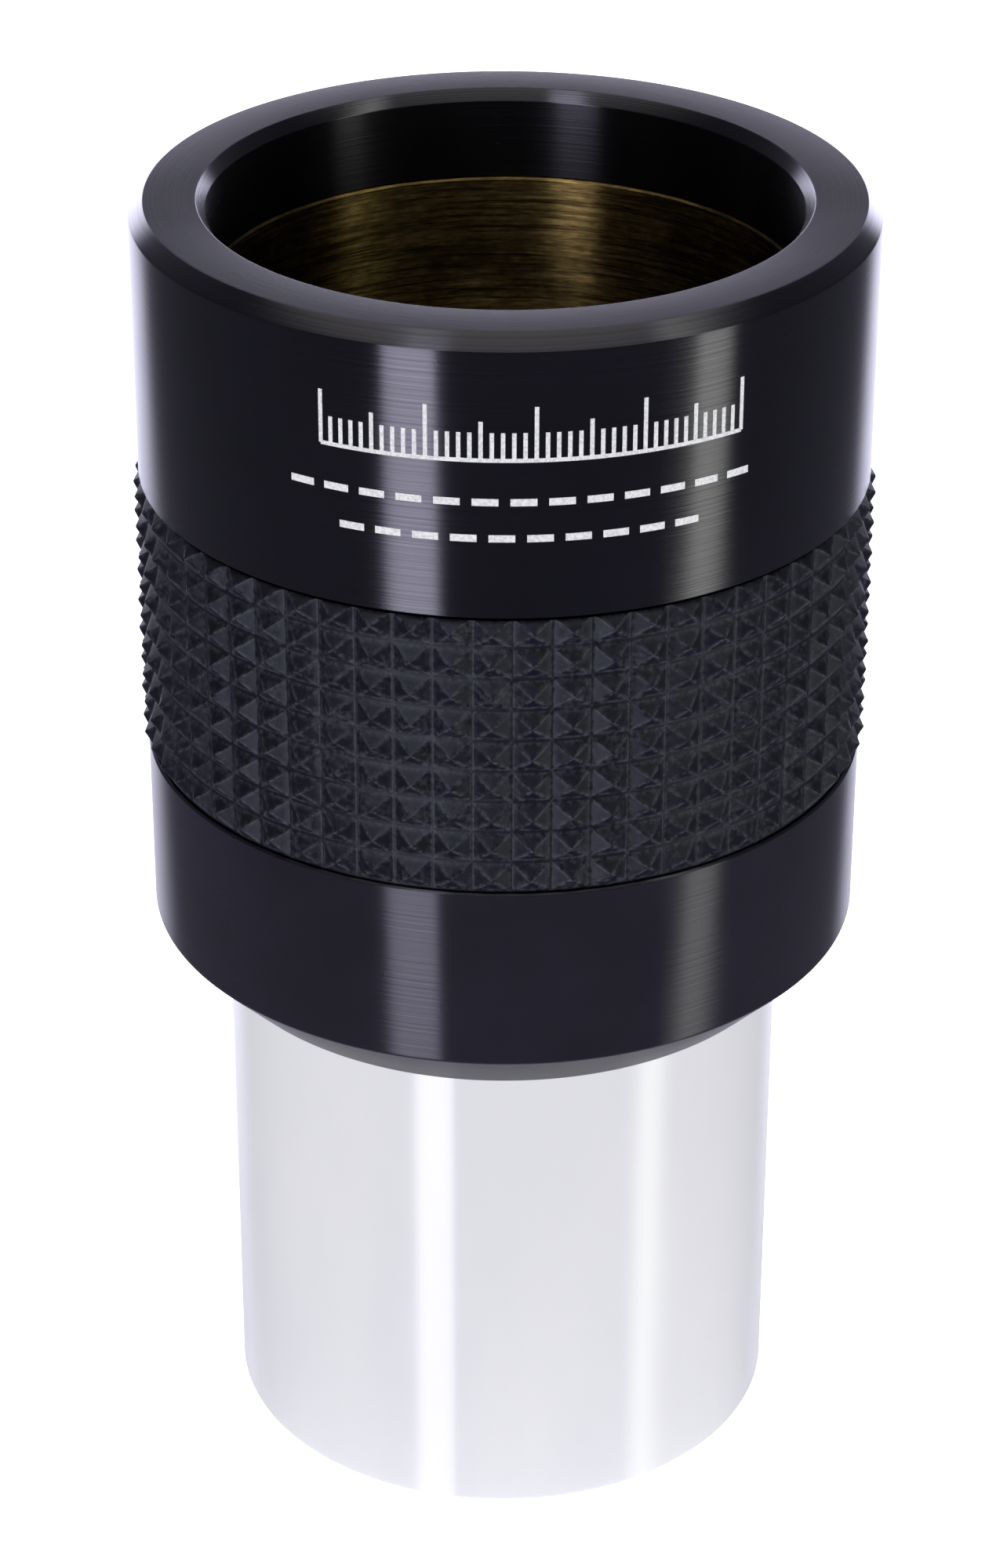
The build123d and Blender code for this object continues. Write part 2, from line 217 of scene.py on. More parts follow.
def lathe(name, outline, body="body", place=about_z, segments=LATHE_SEGMENTS, span=None):
    """A solid turned from a closed outline of (radius, height). A span of angles leaves a split."""
    points = rounded(outline)
    start, end = span or (0, 2 * math.pi)
    columns = segments + (1 if span else 0)
    verts = []
    rows = []
    for r, along in points:
        if r == 0 and not span:
            rows.append([len(verts)] * columns)
            verts.append(place(0, along, 0))
            continue
        rows.append(range(len(verts), len(verts) + columns))
        for column in range(columns):
            verts.append(place(r, along, start + (end - start) * column / segments))
    faces = []
    for row, next_row in zip(rows, rows[1:] + rows[:1]):
        if row[0] == row[-1] and next_row[0] == next_row[-1]:
            continue
        for column in range(segments):
            other = (column + 1) % columns
            face = (row[column], row[other], next_row[other], next_row[column])
            faces.append(tuple(dict.fromkeys(face)))
    if span:
        faces.append(tuple(row[0] for row in rows))
        faces.append(tuple(row[-1] for row in rows))
    return new_object(name, verts, faces, body)


def thread_teeth(crest, root, start, end, pitch):
    """Outline points of a thread between two heights, as rings, from start to end."""
    count = round(abs(end - start) / pitch)
    step = (end - start) / count
    points = []
    for tooth in range(count):
        foot = start + tooth * step
        points += [(crest, foot), (crest, foot + step * CREST_END), (root, foot + step * ROOT_AT)]
        points.append((crest, foot + step * CREST_START))
    return points


def cut_hole(obj, radius, start, end):
    """Cuts the thumbscrew's round hole into a turned part, between two distances from the optical axis."""
    bm = bmesh.new()
    bmesh.ops.create_cone(
        bm, cap_ends=True, segments=SCREW_SEGMENTS, radius1=radius * MM, radius2=radius * MM, depth=MM
    )
    mesh = bpy.data.meshes.new("hole_cutter")
    bm.to_mesh(mesh)
    bm.free()
    cutter = bpy.data.objects.new("hole_cutter", mesh)
    bpy.context.scene.collection.objects.link(cutter)
    cutter.rotation_euler = (math.pi / 2, 0, 0)
    cutter.scale = (1, 1, end - start)
    cutter.location = Vector((0, (start + end) / 2, SCREW_HEIGHT)) * MM
    cut = obj.modifiers.new("hole", "BOOLEAN")
    cut.object = cutter
    cut.operation = "DIFFERENCE"
    cut.solver = "EXACT"
    bpy.context.view_layer.update()
    whole = obj.evaluated_get(bpy.context.evaluated_depsgraph_get())
    obj.data = bpy.data.meshes.new_from_object(whole)
    obj.modifiers.clear()
    bpy.data.objects.remove(cutter)
    obj.data.set_sharp_from_angle(angle=SHARP_ANGLE)


# ---------------------------------------------------------------- materials

# Where the mix node keeps its two colours and its mixed colour.
MIX_FIRST_COLOUR = 6
MIX_SECOND_COLOUR = 7
MIX_COLOUR_RESULT = 2


class Nodes:
    """A node tree under construction, with short calls for the nodes that repeat."""

    def __init__(self, tree, place):
        self.tree = tree
        self.place = self.add("ShaderNodeTexCoord").outputs[place]

    def add(self, kind, **settings):
        """A new node, with its settings."""
        node = self.tree.nodes.new(kind)
        for key, value in settings.items():
            setattr(node, key, value)
        return node

    def join(self, source, target):
        """Links an output to an input, or sets the input if the source is a plain value."""
        if isinstance(source, bpy.types.NodeSocket):
            self.tree.links.new(source, target)
        else:
            target.default_value = source

    def math(self, operation, a, b=0.0):
        """One arithmetic step on values or sockets."""
        node = self.add("ShaderNodeMath", operation=operation)
        self.join(a, node.inputs[0])
        self.join(b, node.inputs[1])
        return node.outputs[0]

    def split(self):
        """The x, y and z of the place on the object, in metres."""
        node = self.add("ShaderNodeSeparateXYZ")
        self.join(self.place, node.inputs[0])
        return node.outputs

    def vector(self, x, y, z):
        """A vector from three values or sockets."""
        node = self.add("ShaderNodeCombineXYZ")
        for value, target in zip((x, y, z), node.inputs):
            self.join(value, target)
        return node.outputs[0]

    def stretched(self, x, y, z):
        """The place on the object, scaled apart in each direction."""
        node = self.add("ShaderNodeVectorMath", operation="MULTIPLY")
        self.join(self.place, node.inputs[0])
        node.inputs[1].default_value = (x, y, z)
        return node.outputs[0]

    def noise(self, where, scale=1.0, detail=2.0, rough=0.5):
        """Noise from 0 to 1 at a place."""
        node = self.add("ShaderNodeTexNoise")
        self.join(where, node.inputs["Vector"])
        node.inputs["Scale"].default_value = scale
        node.inputs["Detail"].default_value = detail
        node.inputs["Roughness"].default_value = rough
        return node.outputs[0]

    def ramp(self, value, low, high, from_low=0.0, from_high=1.0, shape="LINEAR"):
        """A value moved from one range to another, clamped."""
        node = self.add("ShaderNodeMapRange", interpolation_type=shape)
        self.join(value, node.inputs["Value"])
        node.inputs["From Min"].default_value = from_low
        node.inputs["From Max"].default_value = from_high
        node.inputs["To Min"].default_value = low
        node.inputs["To Max"].default_value = high
        return node.outputs[0]

    def colours(self, factor, a, b):
        """A mix of two colours."""
        node = self.add("ShaderNodeMix", data_type="RGBA")
        self.join(factor, node.inputs[0])
        node.inputs[MIX_FIRST_COLOUR].default_value = (*a, 1)
        node.inputs[MIX_SECOND_COLOUR].default_value = (*b, 1)
        return node.outputs[MIX_COLOUR_RESULT]


class Look(Nodes):
    """A material under construction."""

    def __init__(self, name):
        self.material = bpy.data.materials.new(name)
        self.material.use_nodes = True
        super().__init__(self.material.node_tree, "Object")
        self.shader = self.tree.nodes["Principled BSDF"]

    def bump(self, height, distance, strength=1.0, under=None):
        """A bump of this height in metres, on top of another one."""
        node = self.add("ShaderNodeBump")
        self.join(height, node.inputs["Height"])
        node.inputs["Distance"].default_value = distance
        node.inputs["Strength"].default_value = strength
        if under is not None:
            self.join(under, node.inputs["Normal"])
        return node.outputs[0]

    def turned(self, anisotropy):
        """Stretches the highlights across the turned lines of a part on the optical axis."""
        tangent = self.add("ShaderNodeTangent", direction_type="RADIAL", axis="Z")
        self.join(tangent.outputs[0], self.shader.inputs["Tangent"])
        self.shader.inputs["Anisotropic"].default_value = anisotropy
        self.shader.inputs["Anisotropic Rotation"].default_value = ACROSS_LINES

    def set(self, **values):
        """Sets or links the shader's own sockets, with _ for a space."""
        for key, value in values.items():
            self.join(value, self.shader.inputs[key.replace("_", " ")])
        return self.material


# Colours, and the tints of the sheen on black. A pair is a surface's two shades.
GLOSS_TONE = (0.0034, 0.0032, 0.0054)
BORE_SHADE_TONE = (0.0012, 0.0011, 0.0026)
# The bore's tone is the gloss black made darker: painted shade inside the socket.
SATIN_TONE = (0.013, 0.012, 0.0195)
SMUDGE_TONE_GAIN = 1.35
BLACK_TINT = (0.85, 0.84, 1.0, 1.0)
SILVER_TONES = ((0.72, 0.72, 0.775), (0.765, 0.765, 0.81))
# The brass's dark tone is painted shade; the bright one is its scratched metal.
BRASS_AND_SHADE_TONES = ((0.028, 0.018, 0.0065), (0.36, 0.255, 0.095))
RUBBER_TONES = ((0.0034, 0.0035, 0.0076), (0.07, 0.073, 0.098))
RUBBER_TINT = (0.78, 0.84, 1.0, 1.0)
STEEL_TONES = ((0.42, 0.42, 0.44), (0.6, 0.6, 0.62))
MATT_TONES = ((0.010, 0.010, 0.012), (0.018, 0.018, 0.021))
GLASS_TONES = ((0.93, 0.98, 0.95), (0.97, 1.0, 0.98))
COATING_TINT = (0.35, 1.0, 0.55, 1.0)
GLASS_INDEX = 1.52
INK_TONES = ((0.6, 0.6, 0.63), (0.82, 0.82, 0.86))

# How dense the lathe's lines are, how far highlights stretch across them, and which way.
FINE_LINES = 7000.0
BROAD_LINES = 1400.0
FULL_STRETCH = 1.0
ACROSS_LINES = 0.25


def along_profile(look, radial_share):
    """A length that grows along a turned part's profile, on its walls and on its flat ends."""
    x, y, z = look.split()
    radius = look.math("SQRT", look.math("ADD", look.math("MULTIPLY", x, x), look.math("MULTIPLY", y, y)))
    return look.math("ADD", z, look.math("MULTIPLY", radius, radial_share))


def turned_black(name, tone, roughness, line_depth, specular):
    """Black anodised aluminium with turned lines of this depth in metres, faint smudges and specks."""
    look = Look(name)
    length = along_profile(look, 1.7)
    fine = look.noise(look.vector(length, 0.0, 0.0), FINE_LINES, 1.0)
    broad = look.noise(look.vector(length, 0.0, 0.0), BROAD_LINES, 2.0)
    lines = look.math("ADD", look.math("MULTIPLY", fine, 0.7), look.math("MULTIPLY", broad, 0.3))
    shine = look.ramp(fine, specular * 0.7, specular * 1.3, 0.3, 0.7)
    smudge = look.noise(look.place, 90.0, 3.0, 0.6)
    speck = look.ramp(look.noise(look.place, 2600.0, 1.0), 0.0, 1.0, 0.7, 0.8)
    smudged_tone = [c * SMUDGE_TONE_GAIN for c in tone]
    colour = look.colours(look.ramp(smudge, 0.0, 1.0, 0.3, 0.7), tone, smudged_tone)
    smeared = look.ramp(smudge, roughness * 0.92, roughness * 1.1, 0.3, 0.7)
    rough = look.math("ADD", smeared, look.ramp(fine, -0.02, 0.02))
    normal = look.bump(lines, line_depth)
    normal = look.bump(speck, 0.0000015, 0.3, normal)
    look.turned(FULL_STRETCH)
    return look.set(
        Base_Color=colour,
        Roughness=rough,
        Normal=normal,
        Specular_IOR_Level=shine,
        Specular_Tint=BLACK_TINT,
    )


def satin_silver(name):
    """Clear anodised aluminium with a soft satin face and hair-fine lines round it."""
    look = Look(name)
    length = along_profile(look, 1.3)
    fine = look.noise(look.vector(length, 0.0, 0.0), FINE_LINES, 2.0)
    cloud = look.noise(look.stretched(1.0, 1.0, 0.35), 110.0, 3.0, 0.55)
    colour = look.colours(look.ramp(cloud, 0.0, 1.0, 0.3, 0.7), *SILVER_TONES)
    rough = look.math("ADD", look.ramp(cloud, 0.19, 0.22, 0.3, 0.7), look.ramp(fine, -0.02, 0.02))
    look.turned(FULL_STRETCH)
    normal = look.bump(fine, 0.0000012)
    return look.set(Base_Color=colour, Roughness=rough, Normal=normal, Specular_IOR_Level=0.5)


def brushed_brass(name):
    """Brass with long scratches round it, darkened in patches; its dark tone, far darker than brass, is
    painted shade.
    """
    look = Look(name)
    scratch = look.noise(look.stretched(130.0, 130.0, 4600.0), 1.0, 4.0, 0.7)
    fleck = look.noise(look.stretched(1100.0, 1100.0, 6500.0), 1.0, 2.0, 0.6)
    patch = look.noise(look.place, 300.0, 3.0, 0.6)
    # Scratches and patches mix the bright brass with the dark tone of painted shade.
    wear_and_shade = look.ramp(scratch, 0.15, 1.0, 0.35, 0.7)
    wear_and_shade = look.math("MULTIPLY", wear_and_shade, look.ramp(patch, 0.3, 1.0, 0.35, 0.6))
    wear_and_shade = look.math("MULTIPLY", wear_and_shade, look.ramp(fleck, 0.5, 1.0, 0.4, 0.6))
    colour = look.colours(wear_and_shade, *BRASS_AND_SHADE_TONES)
    rough = look.ramp(scratch, 0.24, 0.34, 0.3, 0.7)
    normal = look.bump(look.math("ADD", scratch, look.math("MULTIPLY", fleck, 0.4)), 0.000008)
    look.turned(FULL_STRETCH)
    return look.set(Base_Color=colour, Roughness=rough, Normal=normal, Metallic=1.0)


def grip_rubber(name):
    """Moulded rubber, paler and smoother along its edges: partly rubbed wear, partly painted highlight."""
    look = Look(name)
    highlight_and_rubbed_edges = look.add("ShaderNodeAttribute", attribute_name="highlight_and_rubbed_edges").outputs["Fac"]
    grain = look.noise(look.place, 5200.0, 3.0, 0.6)
    scuff = look.noise(look.place, 3200.0, 4.0, 0.62)
    patch = look.noise(look.place, 420.0, 2.0)
    dust = look.math("MULTIPLY", scuff, look.ramp(patch, 0.7, 1.2, 0.35, 0.65))
    dust = look.ramp(dust, 0.0, 0.35, 0.5, 0.75)
    # Paler edges, broken up by scuffs: partly wear, partly painted highlight.
    highlight_and_wear = look.math("MULTIPLY", highlight_and_rubbed_edges, look.ramp(scuff, 0.0, 1.0, 0.38, 0.6))
    pale = look.math("MAXIMUM", highlight_and_wear, dust)
    colour = look.colours(pale, *RUBBER_TONES)
    rough = look.math("SUBTRACT", look.ramp(scuff, 0.4, 0.54, 0.3, 0.7), look.math("MULTIPLY", pale, 0.04))
    normal = look.bump(scuff, 0.00002, 0.7)
    normal = look.bump(grain, 0.000004, 0.6, normal)
    return look.set(
        Base_Color=colour,
        Roughness=rough,
        Normal=normal,
        Specular_IOR_Level=0.22,
        Specular_Tint=RUBBER_TINT,
    )


def turned_steel(name):
    """Bright steel with fine lines from the lathe."""
    look = Look(name)
    lines = look.noise(look.stretched(300.0, 9000.0, 300.0), 1.0, 2.0)
    colour = look.colours(look.noise(look.place, 300.0, 2.0), *STEEL_TONES)
    rough = look.ramp(lines, 0.24, 0.38, 0.3, 0.7)
    return look.set(Base_Color=colour, Roughness=rough, Normal=look.bump(lines, 0.000004), Metallic=1.0)


def matt_black(name):
    """Matt black anodising with a powdery grain."""
    look = Look(name)
    grain = look.noise(look.place, 4200.0, 3.0, 0.6)
    cloud = look.noise(look.place, 200.0, 2.0)
    colour = look.colours(cloud, *MATT_TONES)
    rough = look.ramp(grain, 0.5, 0.66, 0.3, 0.7)
    normal = look.bump(grain, 0.000006)
    return look.set(Base_Color=colour, Roughness=rough, Normal=normal, Specular_IOR_Level=0.4)


def coated_glass(name):
    """Lens glass with a green antireflection coating and a few specks of dust."""
    look = Look(name)
    dust = look.ramp(look.noise(look.place, 2200.0, 1.0), 0.0, 0.25, 0.74, 0.8)
    rough = look.math("ADD", look.ramp(look.noise(look.place, 120.0, 2.0), 0.0, 0.02, 0.4, 0.7), dust)
    colour = look.colours(look.noise(look.place, 60.0, 1.0), *GLASS_TONES)
    return look.set(
        Base_Color=colour,
        Roughness=rough,
        Transmission_Weight=1.0,
        IOR=GLASS_INDEX,
        Specular_Tint=COATING_TINT,
    )


def print_white(name):
    """White ink with a slightly uneven, toothed surface."""
    look = Look(name)
    grain = look.noise(look.place, 6500.0, 2.0)
    colour = look.colours(look.ramp(grain, 0.0, 1.0, 0.35, 0.6), *INK_TONES)
    rough = look.ramp(grain, 0.55, 0.7, 0.3, 0.7)
    return look.set(Base_Color=colour, Roughness=rough, Normal=look.bump(grain, 0.000006))


GLOSS_BLACK = turned_black("gloss_black_anodised", GLOSS_TONE, 0.2, 0.00001, 0.5)
# A darker copy of the gloss black anodising for the socket's inside: painted shade.
BORE_SHADED_BLACK = turned_black("bore_black_anodised_painted_shade", BORE_SHADE_TONE, 0.26, 0.000008, 0.5)
SATIN_BLACK = turned_black("satin_black_anodised", SATIN_TONE, 0.2, 0.000005, 0.25)
MATT_BLACK = matt_black("matt_black_anodised")
SILVER = satin_silver("satin_silver")
BRASS = brushed_brass("ring_brass")
RUBBER = grip_rubber("grip_rubber")
STEEL = turned_steel("screw_steel")
GLASS = coated_glass("coated_glass")
INK = print_white("print_white")


def finish(obj, material, slot, *nodes):
    """Gives a piece its material and hides the CAD nodes it stands for. Its slot is not used."""
    obj.data.materials.clear()
    obj.data.materials.append(material)
    if nodes:
        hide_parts(*nodes)
    return obj


def line_bore(obj, material, radius):
    """Gives a second material to the faces inside this radius."""
    obj.data.materials.append(material)
    for face in obj.data.polygons:
        if math.hypot(face.center.x, face.center.y) < (radius + BORE_MARGIN) * MM:
            face.material_index = 1


# ---------------------------------------------------------------- housing

holder = lathe(
    "upper_housing",
    [
        (SOCKET_R, SOCKET_FLOOR, FLOOR_ROUND),
        (SPIGOT_R, SOCKET_FLOOR, SPIGOT_ROUND),
        (SPIGOT_R, HOUSING_JOINT),
        (GRIP_SEAT_R, HOUSING_JOINT),
        (GRIP_SEAT_R, GRIP_ZONE_TOP),
        (BODY_R, GRIP_ZONE_TOP, SOFT_ROUND),
        (BODY_R, OVERALL_HEIGHT - RIM_CHAMFER, EDGE_ROUND),
        (BODY_R - RIM_CHAMFER, OVERALL_HEIGHT, EDGE_ROUND),
        (SOCKET_R + SOCKET_CHAMFER_WIDTH, OVERALL_HEIGHT, EDGE_ROUND),
        (SOCKET_R, OVERALL_HEIGHT - SOCKET_CHAMFER_DEPTH, EDGE_ROUND),
        (SOCKET_R, RING_TOP + RING_GROOVE_END_GAP, FINE_ROUND),
        (RING_GROOVE_R, RING_TOP + RING_GROOVE_END_GAP),
        (RING_GROOVE_R, RING_BOTTOM - RING_GROOVE_END_GAP),
        (SOCKET_R, RING_BOTTOM - RING_GROOVE_END_GAP, FINE_ROUND),
    ],
)
cut_hole(holder, SCREW_HOLE_R, SOCKET_R, BODY_R + SCREW_HOLE_OVERRUN)
finish(holder, GLOSS_BLACK, "gloss_black_anodised", "eyepiece_holder")
# The faces inside the socket take the darker copy: painted shade in the bore.
line_bore(holder, BORE_SHADED_BLACK, SOCKET_R)

lower = lathe(
    "lower_housing_shell",
    [
        (NOSEPIECE_BORE_R, BODY_BOTTOM),
        (BODY_R - BODY_CHAMFER, BODY_BOTTOM, SOFT_ROUND),
        (BODY_R, BODY_BOTTOM + BODY_CHAMFER, BODY_CHAMFER_ROUND),
        (BODY_R, GRIP_ZONE_BOTTOM - GRIP_SEAT_CHAMFER, FINE_ROUND),
        (BODY_R - GRIP_SEAT_CHAMFER, GRIP_ZONE_BOTTOM, FINE_ROUND),
        (GRIP_SEAT_R, GRIP_ZONE_BOTTOM),
        (GRIP_SEAT_R, HOUSING_JOINT),
        (SPIGOT_SOCKET_R, HOUSING_JOINT),
        (SPIGOT_SOCKET_R, SOCKET_FLOOR),
        (LIGHT_BORE_R, SOCKET_FLOOR, LIGHT_BORE_ROUND),
        (LIGHT_BORE_R, NOSEPIECE_BORE_TOP),
        (NOSEPIECE_BORE_R, NOSEPIECE_BORE_TOP),
    ],
)
finish(lower, SATIN_BLACK, "satin_black_anodised", "lower_housing")


# ---------------------------------------------------------------- rubber grip


def pyramid(u, v):
    """Height from 0 to 1 of a square pyramid with soft ridges, for u and v from -1 to 1 across its foot."""
    reach = (abs(u) ** GRIP_RIDGE_SHARPNESS + abs(v) ** GRIP_RIDGE_SHARPNESS) ** (1 / GRIP_RIDGE_SHARPNESS)
    blunt = math.hypot(reach, GRIP_TIP_ROUND) - GRIP_TIP_ROUND * (1 - min(reach, 1))
    return max(0.0, 1 - blunt)


def lean():
    """How far a pyramid leans in one direction, drawn at random."""
    return random.gauss(0, GRIP_LEAN_SPREAD)


def size():
    """How tall a pyramid is against a full one, drawn at random."""
    return 1 - abs(random.gauss(0, GRIP_HEIGHT_SPREAD))


def rubber_grip():
    """The grip's sleeve: a grid of pyramids outside, a plain wall inside, with its ridges and feet marked
    for paler paint, partly wear and partly painted highlight.
    """
    half_column = math.pi / GRIP_COLUMNS
    half_row = GRIP_ROW_PITCH / 2
    foot_u = 1 - GRIP_GROOVE_HALF_WIDTH / (GRIP_TIP_R * half_column)
    foot_v = 1 - GRIP_GROOVE_HALF_WIDTH / half_row
    steps = GRIP_STEPS[:-1]
    columns = GRIP_COLUMNS * len(steps)
    leans = [[(lean(), lean()) for _ in range(GRIP_COLUMNS)] for _ in range(GRIP_ROWS)]
    sizes = [[size() for _ in range(GRIP_COLUMNS)] for _ in range(GRIP_ROWS)]
    verts = []
    highlight_and_rubbed_edges = []
    for row in range(GRIP_ROWS):
        for step_v in steps + ((GRIP_STEPS[-1],) if row == GRIP_ROWS - 1 else ()):
            z = GRIP_BOTTOM + (row + 0.5 + step_v / 2) * GRIP_ROW_PITCH
            for column in range(GRIP_COLUMNS):
                lean_u, lean_v = leans[row][column]
                for step_u in steps:
                    angle = (2 * column + 1 + step_u) * half_column + GRIP_TURN
                    u = step_u / foot_u
                    v = step_v / foot_v
                    shift = max(0.0, 1 - max(abs(u), abs(v)))
                    rise = pyramid(u - lean_u * shift, v - lean_v * shift) * sizes[row][column]
                    r = GRIP_FLOOR_R + (GRIP_TIP_R - GRIP_FLOOR_R) * rise
                    verts.append(about_z(r, min(z, GRIP_TOP), angle))
                    # Ridges and feet marked for paler paint: partly wear, partly painted highlight.
                    ridge = 1 - min(1.0, abs(abs(u) - abs(v)) / PALE_EDGE_RIDGE_BAND)
                    rim = 1 - min(1.0, abs(max(abs(u), abs(v)) - 1) / PALE_EDGE_FOOT_BAND)
                    highlight_and_rubbed_edges.append(max(ridge * PALE_EDGE_RIDGE_SHARE, rim))
    rows = len(verts) // columns
    for z in (GRIP_TOP, GRIP_BOTTOM):
        for column in range(columns):
            angle = (2 * (column // len(steps)) + 1 + steps[column % len(steps)]) * half_column + GRIP_TURN
            verts.append(about_z(GRIP_INNER_R, z, angle))
            highlight_and_rubbed_edges.append(0.0)
    faces = []
    for row in range(rows + 2):
        for column in range(columns):
            other = (column + 1) % columns
            after = (row + 1) % (rows + 2)
            corners = [
                row * columns + column,
                row * columns + other,
                after * columns + other,
                after * columns + column,
            ]
            falls = (column % len(steps) < len(steps) / 2) == (row % len(steps) < len(steps) / 2)
            if row >= rows - 1:
                faces.append(corners)
            elif falls:
                faces += [(corners[0], corners[1], corners[2]), (corners[0], corners[2], corners[3])]
            else:
                faces += [(corners[0], corners[1], corners[3]), (corners[1], corners[2], corners[3])]
    grip = new_object("grip_sleeve", verts, faces, "body")
    highlight_and_wear = grip.data.attributes.new("highlight_and_rubbed_edges", "FLOAT", "POINT")
    highlight_and_wear.data.foreach_set("value", highlight_and_rubbed_edges)
    return grip


finish(rubber_grip(), RUBBER, "grip_rubber", "rubber_grip")


# ---------------------------------------------------------------- brass ring and thumbscrew

split_half_angle = math.asin(RING_SPLIT_WIDTH / 2 / RING_INNER_R)
ring = lathe(
    "clamp_ring",
    [
        (RING_INNER_R, RING_BOTTOM, RING_ROUND),
        (RING_OUTER_R, RING_BOTTOM, RING_ROUND),
        (RING_OUTER_R, RING_TOP, RING_ROUND),
        (RING_INNER_R + RING_CHAMFER, RING_TOP, RING_CHAMFER_ROUND),
        (RING_INNER_R, RING_TOP - RING_CHAMFER, RING_CHAMFER_ROUND),
    ],
    body="ring",
    span=(-math.pi / 2 + split_half_angle, 3 * math.pi / 2 - split_half_angle),
)
finish(ring, BRASS, "ring_brass", "compression_ring")

stud = lathe(
    "screw_stud",
    [(0, STUD_FRONT), (STUD_R - STUD_END_CHAMFER, STUD_FRONT)]
    + thread_teeth(
        STUD_R,
        STUD_R - STUD_THREAD_CUT,
        STUD_FRONT + STUD_END_CHAMFER,
        STUD_BACK - STUD_END_CHAMFER,
        STUD_PITCH,
    )
    + [(STUD_R - STUD_END_CHAMFER, STUD_BACK), (0, STUD_BACK)],
    body="screw",
    place=about_screw,
    segments=SCREW_SEGMENTS,
)
finish(stud, STEEL, "screw_steel", "thumbscrew_stud")


def knurled_knob():
    """The knob: a turned blank whose head is pulled in at each groove of its straight knurl."""
    blank = [
        (KNOB_BORE_R, KNOB_FRONT, KNOB_INNER_ROUND),
        (KNOB_COLLAR_R, KNOB_FRONT, KNOB_COLLAR_ROUND),
        (KNOB_COLLAR_R, KNOB_HEAD_FRONT, KNOB_NECK_ROUND),
        (KNOB_R - KNOB_CHAMFER, KNOB_HEAD_FRONT, KNOB_ROUND),
        (KNOB_R, KNOB_HEAD_FRONT + KNOB_CHAMFER, KNOB_ROUND),
        (KNOB_R, KNOB_BACK - KNOB_CHAMFER, KNOB_ROUND),
        (KNOB_R - KNOB_CHAMFER, KNOB_BACK, KNOB_ROUND),
        (KNOB_DISH_R, KNOB_BACK, KNOB_INNER_ROUND),
        (KNOB_DISH_R, KNOB_BACK - KNOB_DISH_DEPTH, KNOB_INNER_ROUND),
        (0, KNOB_BACK - KNOB_DISH_DEPTH),
        (0, STUD_BACK + STUD_END_GAP),
        (KNOB_BORE_R, STUD_BACK + STUD_END_GAP),
    ]

    def place(r, along, angle):
        """A point on the blank, moved in where a groove passes."""
        turn = (angle * KNURL_COUNT / (2 * math.pi)) % 1
        floor = KNOB_R - KNURL_DEPTH + KNURL_DEPTH * min(1.0, abs(turn - 0.5) * KNURL_STEEPNESS)
        return about_screw(min(r, floor), along, angle)

    return lathe("screw_knob", blank, body="screw", place=place, segments=KNURL_COUNT * KNURL_STEPS)


finish(knurled_knob(), SATIN_BLACK, "satin_black_anodised", "thumbscrew_knob")


# ---------------------------------------------------------------- nosepiece

barrel = lathe(
    "nosepiece_shell",
    [
        (FILTER_THREAD_R + FILTER_LEAD_IN, 0, FILTER_LEAD_ROUND),
        (BARREL_R, 0, BARREL_END_ROUND),
        (BARREL_R, BODY_BOTTOM),
        (BARREL_SPIGOT_R, BODY_BOTTOM),
        (BARREL_SPIGOT_R, BARREL_TOP),
        (BARREL_BORE_R, BARREL_TOP, BARREL_BORE_ROUND),
        (BARREL_BORE_R, CELL_SHOULDER),
        (CELL_BORE_R, CELL_SHOULDER),
        (CELL_BORE_R, FILTER_THREAD_DEPTH),
    ]
    + thread_teeth(
        FILTER_THREAD_R,
        FILTER_THREAD_R + FILTER_THREAD_CUT,
        FILTER_THREAD_DEPTH,
        FILTER_THREAD_DEPTH - FILTER_THREAD_TURNS * FILTER_THREAD_PITCH,
        FILTER_THREAD_PITCH,
    )
    + [(FILTER_THREAD_R, FILTER_LEAD_IN)],
)
finish(barrel, SILVER, "satin_silver", "nosepiece_barrel")


# ---------------------------------------------------------------- pieces kept from the frame

KEPT = {
    "lens_cell": MATT_BLACK,
    "lens_spacer": MATT_BLACK,
    "lens_retaining_ring": MATT_BLACK,
    "housing_baffle": MATT_BLACK,
    "barrel_baffle": MATT_BLACK,
    "front_lens": GLASS,
    "doublet_crown": GLASS,
    "doublet_flint": GLASS,
    "pressure_pad": BRASS,
    "housing_lock_screws": STEEL,
}
for node, material in KEPT.items():
    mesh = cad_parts[node].data
    mesh.materials.clear()
    mesh.materials.append(material)


# ---------------------------------------------------------------- printed marks

INK_HEIGHT = 0.02
INK_STEP = 0.25
INK_CORNERS = 4
INK_R = BODY_R + INK_HEIGHT
SCALE_START = -9.6
SCALE_HEIGHT = 68.6
SCALE_TICKS = 40
SCALE_PITCH = 0.56
SCALE_TICK_WIDTH = 0.22
SCALE_TICKS_A_GROUP = 10
SCALE_TICKS_A_HALF = 5
LONG_TICK = 2.9
MIDDLE_TICK = 2.1
SHORT_TICK = 1.5
DASH_ROWS = ((-11.4, 66.3, 13), (-8.6, 64.3, 10))
DASH_PITCH = 1.95
DASH_LENGTH = 1.35
DASH_WIDTH = 0.4


def ink_point(across, height, r):
    """A point of the print, measured along the housing's wall from its front line."""
    angle = across / BODY_R
    return (r * math.sin(angle), -r * math.cos(angle), height)


